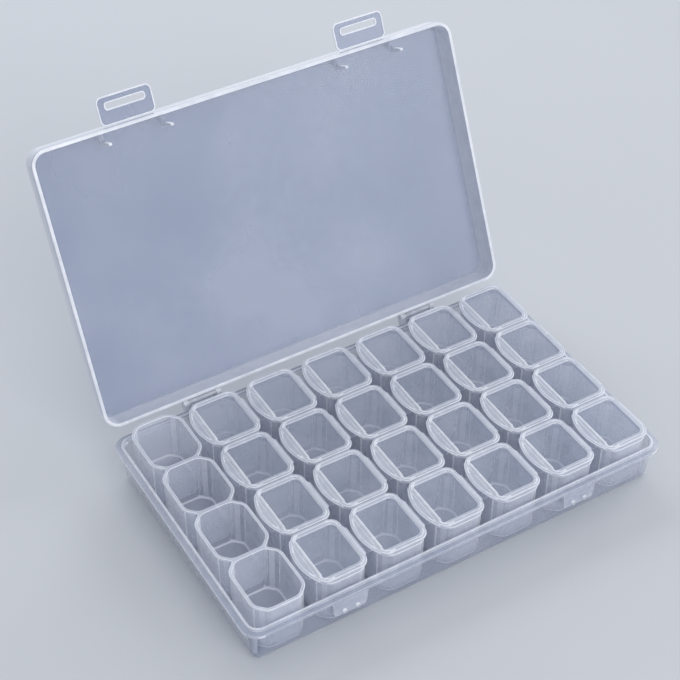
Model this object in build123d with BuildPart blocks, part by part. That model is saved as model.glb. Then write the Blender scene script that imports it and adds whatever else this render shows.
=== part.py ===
from build123d import *
from math import cos, radians, sin, sqrt, tan
import os

# Compartment storage box in translucent polypropylene, millimetres, Z up.
# X runs along the box, -Y is the front with the latches, the origin is the centre of the underside.
# The big lid is drawn open, leaning back on its stop, and the cup lids are drawn shut.

# Whole box, over the tray's flange and the lid
box_length = 175.0
box_width = 107.0
closed_height = 26.0
corner_radius = 6.0

# Tray
rim_height = 16.5
tray_wall = 1.2
tray_floor = 1.4
tray_draft = 3.0
tray_foot_radius = 2.2
flange_overhang = 2.0
flange_thickness = 1.2
lip_height = 1.0
lip_thickness = 0.8
lip_clearance = 0.7

# Big lid
lid_wall = 1.2
lid_panel = 1.1
lid_draft = 2.0
lid_edge_radius = 1.8
lid_seat_clearance = 0.1
lid_open_angle = 115.0

# Snap hinge of the big lid: pins on the tray, hooks on the lid
hinge_behind_rim = 1.8
hinge_above_rim = 2.2
hinge_pin_radius = 0.9
hinge_pin_clearance = 0.08
hinge_hook_wall = 0.72
hinge_hook_width = 11.0
hinge_side_clearance = 0.3
hinge_ear_width = 2.0
hinge_ear_radius = 1.6
hinge_mouth_angle = 80.0
hinge_stop_reach = 2.9
hinge_stop_thickness = 1.0

# Front latches: a flap on the lid with a slot, a tongue with two bumps on the tray
latch_width = 21.4
latch_length = 11.3
latch_thickness = 1.0
latch_corner = 2.2
latch_slot_length = 15.0
latch_slot_height = 2.2
latch_slot_reach = 7.0
latch_web = 0.24
latch_web_gap = 0.44
latch_wall_clearance = 0.15
tongue_top_width = 14.4
tongue_foot_width = 12.4
tongue_length = 8.2
tongue_thickness = 1.1
bump_radius = 0.75
bump_reach = 0.95
bump_spacing = 5.2
bump_above_foot = 1.7

# Locating fins of the big lid
fin_thickness = 1.2
fin_reach = 6.4
fin_tip_width = 0.8
fin_root_width = 2.2
fin_wall_gap = 0.7
fin_above_lip = 0.4
fin_root_height = 4.4

# Cup strips: seven columns of four cups, the first one without lids
columns = 7
rows = 4
strip_gap = 3.5
strip_side_room = 1.35
strip_end_room = 0.6
strip_offset = 0.7
strip_floor_clearance = 0.15
strip_headroom = 3.0
cup_wall = 0.8
cup_floor = 0.95
cup_draft = 0.8
cup_corner = 4.0
cup_foot_chamfer = 1.2
bead_proud = 0.35
bead_height = 1.0

# Cup lids with their living hinge on the right and finger tab on the left
cup_lid_clearance = 0.1
cup_lid_thickness = 1.1
cup_lid_side_gap = 0.65
cup_lid_row_gap = 0.6
cup_lid_corner = 3.8
cup_lid_corner_steps = 3
window_border = 1.9
window_end_border = 2.2
window_depth = 0.45
window_corner = 1.0
rib_width = 0.9
rib_height = 0.3
rib_end_gap = 1.4
plug_depth = 1.4
plug_wall = 0.8
plug_clearance = 0.2
cup_hinge_ends = 5.45
cup_hinge_reach = 0.85
cup_hinge_axis = 0.4
cup_hinge_web = 0.6
cup_ledge_height = 0.85
cup_ledge_gap = 0.15
tab_ends = 1.85
tab_reach = 2.9
tab_thickness = 0.8
tab_lip = 0.8
tab_steps = 6
tab_depth = 3.6

# Worked out from the sizes above
wall_length = box_length - 2 * flange_overhang
wall_width = box_width - 2 * flange_overhang
wall_corner = corner_radius - flange_overhang
lid_rim_height = rim_height + lid_seat_clearance
lid_height = closed_height - lid_rim_height
hinge_y = box_width / 2 + hinge_behind_rim
hinge_z = rim_height + hinge_above_rim
hook_radius = hinge_pin_radius + hinge_pin_clearance + hinge_hook_wall
hinge_spacing = hinge_hook_width + 2 * hinge_side_clearance
mouth_half_width = 2 * hook_radius * tan(radians(hinge_mouth_angle / 2))
latch_axis_y = -box_width / 2 - latch_wall_clearance - latch_thickness / 2
latch_axis_z = lid_rim_height + latch_thickness / 2
tongue_foot_z = rim_height - tongue_length
bump_z = tongue_foot_z + bump_above_foot
column_pitch = (wall_length - 2 * tray_wall - 2 * strip_side_room + strip_gap) / columns
row_pitch = (wall_width - 2 * tray_wall - 2 * strip_end_room) / rows
cup_width = column_pitch - strip_gap
latch_x = 2 * column_pitch
cup_rim_height = closed_height - lid_panel - strip_headroom
strip_bottom = tray_floor + strip_floor_clearance
strip_length = rows * row_pitch
strip_width = cup_width - 2 * bead_proud
pocket_width = strip_width - 2 * cup_wall
pocket_length = row_pitch - 2 * cup_wall
pocket_corner = cup_corner - cup_wall * (2 - sqrt(2))
cup_lid_bottom = cup_rim_height + cup_lid_clearance
open_rim_height = cup_lid_bottom + cup_lid_thickness
cup_lid_width = cup_width - 2 * cup_lid_side_gap
cup_lid_length = row_pitch - cup_lid_row_gap
cup_hinge_x = cup_lid_width / 2 + cup_hinge_axis
cup_hinge_length = row_pitch - 2 * cup_hinge_ends
tab_length = cup_lid_length - 2 * tab_ends
window_width = cup_lid_width - 2 * window_border
window_length = cup_lid_length - 2 * window_end_border
tab_radius = (tab_reach**2 + (tab_length / 2) ** 2) / (2 * tab_reach)
tab_centre_x = tab_radius - tab_reach - cup_lid_width / 2

# The open lid's own frame: its origin on the hinge axis, its Y and Z the closed lid's Y and Z
lid_tilt = radians(lid_open_angle)
lid_plane = Plane(
    origin=(0, hinge_y, hinge_z),
    x_dir=(1, 0, 0),
    z_dir=(0, sin(lid_tilt), cos(lid_tilt)),
)

os.makedirs("parts", exist_ok=True)


def write(part, name):
    part.label = name
    export_step(part, f"parts/{name}.step")


def lid_section(x):
    """A plane across the open lid, its own x and y being the closed lid's Y and Z."""
    return Plane(
        origin=(x, hinge_y, hinge_z),
        x_dir=lid_plane.y_dir,
        z_dir=(1, 0, 0),
    )


def walls(part, direction):
    """The faces of a part that run along a direction."""
    return [face for face in part.faces() if abs(face.normal_at().dot(direction)) < 0.01]


def column_x(column):
    return (column - (columns + 1) / 2) * column_pitch + strip_offset


def row_y(row):
    return (row - (rows + 1) / 2) * row_pitch


# Inside of the tray, narrower towards its floor
tray_rim = Plane.XY.offset(rim_height)
with BuildPart() as tray_hollow:
    with BuildSketch(tray_rim):
        RectangleRounded(
            wall_length - 2 * tray_wall,
            wall_width - 2 * tray_wall,
            wall_corner - tray_wall,
        )
    extrude(amount=tray_floor - rim_height)
    draft(walls(tray_hollow.part, tray_rim.z_dir), neutral_plane=tray_rim, angle=-tray_draft)

# Tray: a drafted tub with a flange, a locating lip, two latch tongues and the hinge ears and pins
with BuildPart() as base_tray:
    with BuildSketch(tray_rim):
        RectangleRounded(wall_length, wall_width, wall_corner)
    extrude(amount=-rim_height)
    draft(walls(base_tray.part, tray_rim.z_dir), neutral_plane=tray_rim, angle=-tray_draft)
    fillet(faces().sort_by(Axis.Z)[0].edges(), radius=tray_foot_radius)

    with BuildSketch(tray_rim):
        RectangleRounded(box_length, box_width, corner_radius)
    extrude(amount=-flange_thickness)

    with BuildSketch(tray_rim):
        RectangleRounded(
            box_length - 2 * (lid_wall + lip_clearance),
            box_width - 2 * (lid_wall + lip_clearance),
            corner_radius - lid_wall,
        )
    extrude(amount=lip_height)

    with BuildSketch(Plane.XY.offset(rim_height + lip_height)):
        RectangleRounded(
            box_length - 2 * (lid_wall + lip_clearance + lip_thickness),
            box_width - 2 * (lid_wall + lip_clearance + lip_thickness),
            corner_radius - lid_wall - lip_thickness,
        )
    extrude(amount=-lip_height, mode=Mode.SUBTRACT)

    add(tray_hollow.part, mode=Mode.SUBTRACT)

    # Latch tongues hang from the front edge of the flange
    for side in (-1, 1):
        with BuildSketch(Plane.XZ.offset(box_width / 2)) as tongue:
            with BuildLine():
                Polyline(
                    (side * latch_x - tongue_top_width / 2, rim_height),
                    (side * latch_x - tongue_foot_width / 2, tongue_foot_z),
                    (side * latch_x + tongue_foot_width / 2, tongue_foot_z),
                    (side * latch_x + tongue_top_width / 2, rim_height),
                    close=True,
                )
            make_face()
            fillet(tongue.vertices().group_by(Axis.Y)[0], radius=tongue_thickness)
        extrude(amount=-tongue_thickness)
        with BuildSketch(Plane.XZ.offset(box_width / 2)):
            with Locations((side * latch_x, bump_z)):
                with GridLocations(bump_spacing, 1, 2, 1):
                    Circle(bump_radius)
        extrude(amount=bump_reach)

    # Ears rise from the rear of the flange on gussets, with a pin between each two
    for side in (-1, 1):
        for ear in (-1, 1):
            near = side * latch_x + ear * hinge_spacing / 2
            with BuildSketch(Plane.YZ.offset(min(near, near + ear * hinge_ear_width))):
                with BuildLine():
                    Polyline(
                        (wall_width / 2 - tray_wall / 2, rim_height - 3 * flange_thickness),
                        (wall_width / 2 - tray_wall / 2, rim_height - flange_thickness / 4),
                        (hinge_y - hinge_ear_radius, rim_height - flange_thickness / 4),
                        (hinge_y - hinge_ear_radius, hinge_z),
                        (hinge_y + hinge_ear_radius, hinge_z),
                        (hinge_y + hinge_ear_radius / 2, rim_height - flange_thickness),
                        close=True,
                    )
                make_face()
                with Locations((hinge_y, hinge_z)):
                    Circle(hinge_ear_radius)
            extrude(amount=hinge_ear_width)
        with BuildSketch(Plane.YZ.offset(side * latch_x - hinge_spacing / 2)):
            with Locations((hinge_y, hinge_z)):
                Circle(hinge_pin_radius)
        extrude(amount=hinge_spacing)
write(base_tray.part, "base_tray")


# Inside of the big lid, narrower towards its panel
lid_rim = lid_plane.offset(lid_rim_height - hinge_z)
with BuildPart() as lid_hollow:
    with BuildSketch(lid_rim):
        with Locations((0, -hinge_y)):
            RectangleRounded(
                box_length - 2 * lid_wall, box_width - 2 * lid_wall, corner_radius - lid_wall
            )
    extrude(amount=lid_height - lid_panel)
    draft(walls(lid_hollow.part, lid_rim.z_dir), neutral_plane=lid_rim, angle=lid_draft)

# Big lid: a shallow drafted cover, drawn in its own open frame
with BuildPart() as main_lid:
    with BuildSketch(lid_rim):
        with Locations((0, -hinge_y)):
            RectangleRounded(box_length, box_width, corner_radius)
    extrude(amount=lid_height)
    draft(walls(main_lid.part, lid_rim.z_dir), neutral_plane=lid_rim, angle=lid_draft)
    fillet(faces().sort_by(Axis(lid_rim.origin, lid_rim.z_dir))[-1].edges(), radius=lid_edge_radius)
    add(lid_hollow.part, mode=Mode.SUBTRACT)

    # Hooks that clip round the tray's pins, each with a mouth and a stop lug
    for side in (-1, 1):
        with BuildSketch(lid_section(side * latch_x - hinge_hook_width / 2)):
            Circle(hook_radius)
            with Locations((-hinge_behind_rim - lid_wall / 2, 0)):
                Rectangle(
                    hinge_behind_rim + lid_wall / 2,
                    2 * hook_radius,
                    align=(Align.MIN, Align.CENTER),
                )
            Rectangle(
                hinge_stop_reach, hinge_stop_thickness, align=(Align.MIN, Align.CENTER)
            )
            Circle(hinge_pin_radius + hinge_pin_clearance, mode=Mode.SUBTRACT)
            with BuildLine():
                Polyline(
                    (0, 0),
                    (-mouth_half_width, -2 * hook_radius),
                    (mouth_half_width, -2 * hook_radius),
                    close=True,
                )
            make_face(mode=Mode.SUBTRACT)
        extrude(amount=hinge_hook_width)

    # Fins that guide the front wall over the tray's lip, two beside each latch
    for side in (-1, 1):
        for edge in (-1, 1):
            fin_x = side * latch_x + edge * column_pitch / 2 + strip_offset
            wall_y = wall_width / 2 - tray_wall - fin_wall_gap
            lip_top = rim_height + lip_height + fin_above_lip
            with BuildSketch(lid_section(fin_x - fin_thickness / 2)):
                with BuildLine():
                    Polyline(
                        (-box_width / 2 + lid_wall / 2 - hinge_y, lip_top - hinge_z),
                        (-wall_y + fin_wall_gap - hinge_y, lip_top - hinge_z),
                        (-wall_y - hinge_y, lid_rim_height - hinge_z),
                        (-wall_y - hinge_y, lid_rim_height - fin_reach - hinge_z),
                        (-wall_y + fin_tip_width - hinge_y, lid_rim_height - fin_reach - hinge_z),
                        (-wall_y + fin_root_width - hinge_y, lip_top - hinge_z),
                        (-wall_y - hinge_y, lip_top + fin_root_height - hinge_z),
                        (-box_width / 2 + lid_wall / 2 - hinge_y, lip_top + fin_root_height - hinge_z),
                        close=True,
                    )
                make_face()
            extrude(amount=fin_thickness)

    # Living hinge webs that carry the latch flaps
    for side in (-1, 1):
        with BuildSketch(lid_plane.offset(latch_axis_z - latch_web / 2 - hinge_z)):
            with Locations((side * latch_x, -box_width / 2 - hinge_y + lid_wall / 2)):
                Rectangle(
                    latch_width - 2,
                    lid_wall / 2 - box_width / 2 - latch_axis_y - latch_web_gap / 2,
                    align=(Align.CENTER, Align.MAX),
                )
        extrude(amount=latch_web)
write(main_lid.part, "main_lid")


# Latch flaps: plates that fold down over the tongues, drawn straight out as they are moulded
for side, name in ((-1, "latch_left"), (1, "latch_right")):
    root_y = latch_axis_y - latch_web_gap / 2 - hinge_y
    tip_y = -box_width / 2 - latch_length - hinge_y
    with BuildPart() as latch:
        with BuildSketch(lid_rim) as flap:
            with Locations((side * latch_x, root_y)):
                Rectangle(latch_width, root_y - tip_y, align=(Align.CENTER, Align.MAX))
            fillet(flap.vertices().group_by(Axis.Z)[-1], radius=latch_corner)
            with Locations((side * latch_x, latch_axis_y - latch_slot_reach - hinge_y)):
                RectangleRounded(
                    latch_slot_length,
                    latch_slot_height,
                    latch_slot_height / 3,
                    mode=Mode.SUBTRACT,
                )
        extrude(amount=latch_thickness)
    write(latch.part, name)


# Outline of a strip of four cups, seen from above: a bar with a notch wherever two cups meet
def strip_outline(width, length, notch):
    with BuildSketch() as outline:
        Rectangle(width, length)
        with GridLocations(width, row_pitch, 2, rows + 1):
            Rectangle(notch * sqrt(2), notch * sqrt(2), rotation=45, mode=Mode.SUBTRACT)
        with GridLocations(width, length, 2, 2):
            Rectangle(notch * sqrt(2), notch * sqrt(2), rotation=45, mode=Mode.SUBTRACT)
    return outline.sketch


wall_outline = strip_outline(strip_width, strip_length, cup_corner)
bead_outline = strip_outline(cup_width, strip_length + 2 * bead_proud, cup_corner)


def strip_bar(rim):
    """Body of a strip up to its rim plane, before its cups are hollowed out."""
    with BuildPart() as bar:
        with BuildSketch(rim):
            add(wall_outline)
        extrude(amount=strip_bottom - rim.origin.Z)
        draft(walls(bar.part, rim.z_dir), neutral_plane=rim, angle=-cup_draft)
        chamfer(faces().sort_by(Axis.Z)[0].edges(), length=cup_foot_chamfer)
        with BuildSketch(rim):
            add(bead_outline)
        extrude(amount=-bead_height)
    return bar.part


def cup_hollow(rim):
    """Hollow of one cup below the rim plane of its strip."""
    with BuildPart() as hollow:
        with BuildSketch(rim) as mouth:
            Rectangle(pocket_width, pocket_length)
            chamfer(mouth.vertices(), length=pocket_corner)
        extrude(amount=strip_bottom + cup_floor - rim.origin.Z)
        draft(walls(hollow.part, rim.z_dir), neutral_plane=rim, angle=-cup_draft)
    return hollow.part


# Strips of cups: the first has no lids, and its rim stands as high as the others' lids
for column in range(1, columns + 1):
    cup_rim = Plane.XY.offset(cup_rim_height if column > 1 else open_rim_height)
    bar = strip_bar(cup_rim)
    hollow = cup_hollow(cup_rim)
    with BuildPart() as cup_strip:
        with Locations((column_x(column), 0, 0)):
            add(bar)

        if column > 1:
            with BuildSketch(Plane.XY.offset(cup_rim_height - cup_ledge_gap)):
                with Locations((column_x(column) + strip_width / 2, 0)):
                    with GridLocations(1, row_pitch, 1, rows):
                        Rectangle(
                            bead_proud + cup_hinge_reach,
                            cup_hinge_length,
                            align=(Align.MIN, Align.CENTER),
                        )
            extrude(amount=-cup_ledge_height)

        with Locations((column_x(column), 0, 0)):
            with GridLocations(1, row_pitch, 1, rows):
                add(hollow, mode=Mode.SUBTRACT)
    write(cup_strip.part, f"cup_strip_{column}")


def plate_corner(x, y, start):
    """Points round one corner of a cup lid, short straight steps standing for its round."""
    steps = range(cup_lid_corner_steps + 1)
    turns = [radians(start + 90 * step / cup_lid_corner_steps) for step in steps]
    return [(x + cup_lid_corner * cos(turn), y + cup_lid_corner * sin(turn)) for turn in turns]


def tab_edge(inset):
    """Points along the curved edge of a finger tab, moved inwards by an inset."""
    heights = [tab_length * (step / tab_steps - 1 / 2) for step in range(tab_steps + 1)]
    return [(tab_centre_x - sqrt((tab_radius - inset) ** 2 - y**2), y) for y in heights]


corner_x = cup_lid_width / 2 - cup_lid_corner
corner_y = cup_lid_length / 2 - cup_lid_corner
plate_outline = make_face(
    Polyline(
        *plate_corner(corner_x, corner_y, 0),
        *plate_corner(-corner_x, corner_y, 90),
        *plate_corner(-corner_x, -corner_y, 180),
        *plate_corner(corner_x, -corner_y, 270),
        close=True,
    )
)
tab_outline = make_face(
    Polyline(
        *tab_edge(0),
        (cup_wall - cup_lid_width / 2, tab_length / 2),
        (cup_wall - cup_lid_width / 2, -tab_length / 2),
        close=True,
    )
)
tab_lip_outline = make_face(
    Polyline(*tab_edge(0)[1:-1], *reversed(tab_edge(tab_lip)[1:-1]), close=True)
)

# Cup lids: a framed plate with a sunk window, a plug that enters the cup and a finger tab
for column in range(2, columns + 1):
    for row in range(1, rows + 1):
        cup_x = column_x(column)
        cup_y = row_y(row)
        with BuildPart() as cup_lid:
            with BuildSketch(Plane.XY.offset(cup_lid_bottom)):
                with Locations((cup_x, cup_y)):
                    add(plate_outline)
            extrude(amount=cup_lid_thickness)

            with BuildSketch(Plane.XY.offset(cup_lid_bottom)):
                with Locations((cup_x + cup_hinge_x, cup_y)):
                    Rectangle(
                        cup_hinge_axis + cup_hinge_reach,
                        cup_hinge_length,
                        align=(Align.MAX, Align.CENTER),
                    )
            extrude(amount=cup_hinge_web)

            with BuildSketch(Plane.XY.offset(cup_lid_bottom)):
                with Locations((cup_x, cup_y)):
                    add(tab_outline)
            extrude(amount=tab_thickness)

            with BuildSketch(Plane.XY.offset(cup_lid_bottom + tab_thickness)):
                with Locations((cup_x, cup_y)):
                    add(tab_lip_outline)
            extrude(amount=-tab_depth)

            with BuildSketch(Plane.XY.offset(cup_lid_bottom)) as plug:
                with Locations((cup_x, cup_y)):
                    Rectangle(
                        pocket_width - 2 * plug_clearance, pocket_length - 2 * plug_clearance
                    )
                chamfer(plug.vertices(), length=pocket_corner)
                with Locations((cup_x, cup_y)):
                    Rectangle(
                        pocket_width - 2 * (plug_clearance + plug_wall),
                        pocket_length - 2 * (plug_clearance + plug_wall),
                        mode=Mode.SUBTRACT,
                    )
            extrude(amount=-plug_depth)

            with BuildSketch(Plane.XY.offset(cup_lid_bottom + cup_lid_thickness)) as window:
                with Locations((cup_x, cup_y)):
                    Rectangle(window_width, window_length)
                chamfer(window.vertices(), length=window_corner)
            extrude(amount=-window_depth, mode=Mode.SUBTRACT)

            with BuildSketch(Plane.XY.offset(cup_lid_bottom + cup_lid_thickness + rib_height)):
                with Locations((cup_x - window_width / 2, cup_y)):
                    Rectangle(
                        rib_width,
                        window_length - 2 * rib_end_gap,
                        align=(Align.MAX, Align.CENTER),
                    )
            extrude(amount=-rib_height - window_depth)
        write(cup_lid.part, f"cup_lid_{column}_{row}")
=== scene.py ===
"""A translucent compartment storage box with its lid open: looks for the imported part, in metres."""

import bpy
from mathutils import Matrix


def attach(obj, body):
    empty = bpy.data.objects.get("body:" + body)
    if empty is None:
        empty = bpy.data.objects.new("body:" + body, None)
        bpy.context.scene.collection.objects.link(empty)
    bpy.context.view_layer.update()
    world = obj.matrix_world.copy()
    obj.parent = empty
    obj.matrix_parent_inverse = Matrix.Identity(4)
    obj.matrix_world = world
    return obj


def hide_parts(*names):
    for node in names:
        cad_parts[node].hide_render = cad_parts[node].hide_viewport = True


bl_info = {
    "name": "Compartment Storage Box",
    "version": (1, 0, 0),
    "blender": (4, 5, 0),
    "location": "View3D > Sidebar > Storage Box",
    "description": "Dresses the packed storage box in translucent moulded plastic",
    "category": "Object",
}

from math import atan2, cos, degrees, pi, radians, sin, sqrt, tan

import bmesh
import bpy
from bpy.props import FloatProperty, FloatVectorProperty, IntProperty, PointerProperty
from mathutils import Matrix, Vector

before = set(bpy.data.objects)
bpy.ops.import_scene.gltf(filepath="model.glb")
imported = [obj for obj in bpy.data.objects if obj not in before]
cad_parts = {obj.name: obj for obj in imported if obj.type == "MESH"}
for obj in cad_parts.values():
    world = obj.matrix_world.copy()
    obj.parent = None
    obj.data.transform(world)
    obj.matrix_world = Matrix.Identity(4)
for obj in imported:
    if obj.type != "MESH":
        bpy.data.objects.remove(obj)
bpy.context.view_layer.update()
MM = 0.001
COLUMNS = 7
ROWS = 4
MERGE = 0.002 * MM  # vertices closer than this are one
SMOOTH_BELOW = radians(40)  # edges that bend less than this are shaded smooth


class CupSizes(bpy.types.PropertyGroup):
    """Sizes of the strips of cups, as in the part's source"""

    column_pitch: FloatProperty(
        name="Column Pitch", description="Distance between two strips",
        default=24.2 * MM, unit="LENGTH",
    )
    row_pitch: FloatProperty(
        name="Row Pitch", description="Distance between two cups of a strip",
        default=24.85 * MM, unit="LENGTH",
    )
    offset: FloatProperty(
        name="Offset", description="Shift of all strips to the right",
        default=0.7 * MM, unit="LENGTH",
    )
    width: FloatProperty(
        name="Width", description="Width of a strip over its walls",
        default=20.0 * MM, unit="LENGTH",
    )
    wall: FloatProperty(
        name="Wall", description="Thickness of a cup's wall at its rim",
        default=0.8 * MM, unit="LENGTH",
    )
    corner: FloatProperty(
        name="Corner", description="Length of the slanted corner along each side",
        default=4.0 * MM, unit="LENGTH",
    )
    rounding: FloatProperty(
        name="Rounding", description="Radius where wall and slanted corner meet",
        default=4.4 * MM, unit="LENGTH",
    )
    draft: FloatProperty(
        name="Draft", description="Slope of the walls", default=radians(0.8), subtype="ANGLE"
    )
    rim_height: FloatProperty(
        name="Rim Height", description="Height of the rims under lids",
        default=21.9 * MM, unit="LENGTH",
    )
    open_rim_height: FloatProperty(
        name="Open Rim Height", description="Height of the open cups' rims",
        default=23.1 * MM, unit="LENGTH",
    )
    foot_height: FloatProperty(
        name="Foot Height", description="Height of the underside", default=1.55 * MM, unit="LENGTH"
    )
    floor: FloatProperty(
        name="Floor", description="Thickness of a cup's floor", default=0.95 * MM, unit="LENGTH"
    )
    foot_radius: FloatProperty(
        name="Foot Radius", description="Rounding along the foot", default=1.2 * MM, unit="LENGTH"
    )
    bead: FloatProperty(
        name="Bead", description="How far the rim's bead stands out",
        default=0.35 * MM, unit="LENGTH",
    )
    bead_height: FloatProperty(
        name="Bead Height", description="Height of the rim's bead", default=1.0 * MM, unit="LENGTH"
    )
    arc_steps: IntProperty(
        name="Arc Steps", description="Points on each rounded corner", default=5, min=2, max=12
    )


class CupLidSizes(bpy.types.PropertyGroup):
    """Sizes of the flip lids, as in the part's source"""

    width: FloatProperty(
        name="Width", description="Width of the plate", default=19.4 * MM, unit="LENGTH"
    )
    length: FloatProperty(
        name="Length", description="Length of the plate", default=24.25 * MM, unit="LENGTH"
    )
    corner: FloatProperty(
        name="Corner Radius", description="Radius of the plate's corners",
        default=3.8 * MM, unit="LENGTH",
    )
    thickness: FloatProperty(
        name="Thickness", description="Thickness of the plate", default=1.1 * MM, unit="LENGTH"
    )
    bottom: FloatProperty(
        name="Bottom", description="Height of the plate's underside",
        default=22.0 * MM, unit="LENGTH",
    )
    window_width: FloatProperty(
        name="Window Width", description="Width of the sunk window",
        default=15.6 * MM, unit="LENGTH",
    )
    window_length: FloatProperty(
        name="Window Length", description="Length of the sunk window",
        default=19.85 * MM, unit="LENGTH",
    )
    window_depth: FloatProperty(
        name="Window Depth", description="Depth of the sunk window",
        default=0.45 * MM, unit="LENGTH",
    )
    plug_depth: FloatProperty(
        name="Plug Depth", description="How far the plug enters the cup",
        default=1.4 * MM, unit="LENGTH",
    )
    plug_gap: FloatProperty(
        name="Plug Gap", description="Gap between plug and cup", default=0.2 * MM, unit="LENGTH"
    )
    tab_length: FloatProperty(
        name="Tab Length", description="Length of the finger tab", default=20.55 * MM, unit="LENGTH"
    )
    tab_reach: FloatProperty(
        name="Tab Reach", description="How far the finger tab stands out",
        default=2.9 * MM, unit="LENGTH",
    )
    tab_depth: FloatProperty(
        name="Tab Depth", description="Height of the tab's hanging lip",
        default=3.6 * MM, unit="LENGTH",
    )
    hinge_length: FloatProperty(
        name="Hinge Length", description="Length of the living hinge",
        default=13.95 * MM, unit="LENGTH",
    )


class PlasticLook(bpy.types.PropertyGroup):
    """Colours of the translucent plastic"""

    # film and cup_film are one plastic: film is its bluish tint made much darker than cup_film,
    # painted shade that darkens the tray's floor in the gaps between the cups.
    film: FloatVectorProperty(
        name="Film", description="Colour of tray and big lid where they are thin",
        default=(0.15, 0.21, 0.38), size=3, subtype="COLOR",
    )
    cup_film: FloatVectorProperty(
        name="Cup Film", description="Colour of the cups' walls",
        default=(0.68, 0.73, 0.85), size=3, subtype="COLOR",
    )
    lid_film: FloatVectorProperty(
        name="Cup Lid Film", description="Colour of the cup lids",
        default=(0.42, 0.48, 0.63), size=3, subtype="COLOR",
    )
    edge: FloatVectorProperty(
        name="Edge", description="Colour of edges, where the plastic is thick",
        default=(0.93, 0.95, 1.0), size=3, subtype="COLOR",
    )
    floor: FloatVectorProperty(
        name="Table", description="Colour of the table",
        default=(0.55, 0.57, 0.60), size=3, subtype="COLOR",
    )


# Meshes

SLANTS = (45, 135, -45, -135)  # compass angles of slanted corners
CORNER_ROUNDINGS = (22.5, 157.5, -22.5, -157.5)  # and of the roundings beside them


def link(name, mesh):
    """A new object in the scene that holds the mesh."""
    piece = bpy.data.objects.new(name, mesh)
    bpy.context.scene.collection.objects.link(piece)
    return piece


def rounded_octagon(half_x, half_y, corner, rounding, steps, left=1.0):
    """Outline of a rectangle with slanted, rounded corners; left scales the corners on the left."""
    sharp = []
    for sx, sy in ((1, 1), (-1, 1), (-1, -1), (1, -1)):
        leg = max(corner * (left if sx < 0 else 1.0), 0.02 * MM)
        a = (sx * half_x, sy * (half_y - leg))
        b = (sx * (half_x - leg), sy * half_y)
        sharp += [a, b] if sx * sy > 0 else [b, a]
    radii = [rounding] * 2 + [rounding * left] * 4 + [rounding] * 2
    return round_vertices([Vector(p) for p in sharp], radii, steps)


def round_vertices(sharp, radii, steps):
    """Rounds each vertex of a closed outline, convex or not, with an arc of steps + 1 points."""
    count = len(sharp)
    outline = []
    for i, corner in enumerate(sharp):
        before = sharp[i - 1] - corner
        after = sharp[(i + 1) % count] - corner
        reach = 0.499 * min(before.length, after.length)
        before.normalize()
        after.normalize()
        half = before.angle(after) / 2
        radius = min(radii[i], reach * tan(half))
        centre = corner + (before + after).normalized() * (radius / sin(half))
        start = corner + before * (radius / tan(half)) - centre
        end = corner + after * (radius / tan(half)) - centre
        turn = start.angle_signed(end)
        for step in range(steps + 1):
            angle = -turn * step / steps
            along = start.x * cos(angle) - start.y * sin(angle)
            across = start.x * sin(angle) + start.y * cos(angle)
            outline.append(centre + Vector((along, across)))
    return outline


def loft(name, rings):
    """A closed mesh through rings of equal count, each an outline and its height, with caps."""
    shape = bmesh.new()
    loops = [[shape.verts.new((p.x, p.y, z)) for p in outline] for outline, z in rings]
    count = len(loops[0])
    for low, high in zip(loops, loops[1:]):
        for i in range(count):
            j = (i + 1) % count
            shape.faces.new((low[i], low[j], high[j], high[i]))
    shape.faces.new(list(reversed(loops[0])))
    shape.faces.new(loops[-1])
    bmesh.ops.remove_doubles(shape, verts=shape.verts, dist=MERGE)
    bmesh.ops.recalc_face_normals(shape, faces=shape.faces)
    mesh = bpy.data.meshes.new(name)
    shape.to_mesh(mesh)
    shape.free()
    return mesh


def quarter(steps):
    """Steps of a rounded edge: how far along it and how far out, each from 0 to 1."""
    return [(1 - cos(i * pi / 2 / steps), sin(i * pi / 2 / steps)) for i in range(steps + 1)]


def mark_edges(mesh, rule):
    """Writes edge_glow on each face, from 0 to 1, by a rule on its centre, normal and width."""
    glow = mesh.attributes.new("edge_glow", "FLOAT", "FACE")
    values = []
    for face in mesh.polygons:
        corners = [mesh.vertices[i].co for i in face.vertices]
        longest = max((corners[i] - corners[i - 1]).length for i in range(len(corners)))
        width = face.area / max(longest, 1e-9)
        values.append(min(1.0, max(0.0, rule(face.center, face.normal, width))))
    glow.data.foreach_set("value", values)


def near_angle(normal, angles, reach):
    """Whether an upright face looks along one of the angles, in degrees, to within reach."""
    if abs(normal.z) > 0.3:
        return False
    turn = degrees(atan2(normal.y, normal.x))
    return any(abs((turn - angle + 180) % 360 - 180) < reach for angle in angles)


def finish_piece(name, mesh, rule, node, material):
    """Makes the finished mesh a piece in place of a CAD node, riding on the body of that name."""
    mark_edges(mesh, rule)
    mesh.shade_smooth()
    mesh.set_sharp_from_angle(angle=SMOOTH_BELOW)
    mesh.materials.clear()
    mesh.materials.append(paint(material))
    piece = link(name, mesh)
    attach(piece, node)
    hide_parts(node)


# Node trees

def add_sockets(tree, in_out, *sockets):
    """Adds sockets to a node group, each with a name, a kind and maybe a default."""
    for name, kind, *default in sockets:
        kind = "NodeSocket" + kind
        socket = tree.interface.new_socket(name=name, in_out=in_out, socket_type=kind)
        if default:
            socket.default_value = default[0]


def feed(tree, socket, value):
    """Links another node's output to a socket, or sets the socket to a plain value."""
    if isinstance(value, bpy.types.NodeSocket):
        tree.links.new(value, socket)
    else:
        socket.default_value = value


def maths(tree, operation, a, b, clamp=False):
    """The output of a Math node on two outputs or numbers."""
    node = tree.nodes.new("ShaderNodeMath")
    node.operation = operation
    node.use_clamp = clamp
    feed(tree, node.inputs[0], a)
    feed(tree, node.inputs[1], b)
    return node.outputs["Value"]


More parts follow.
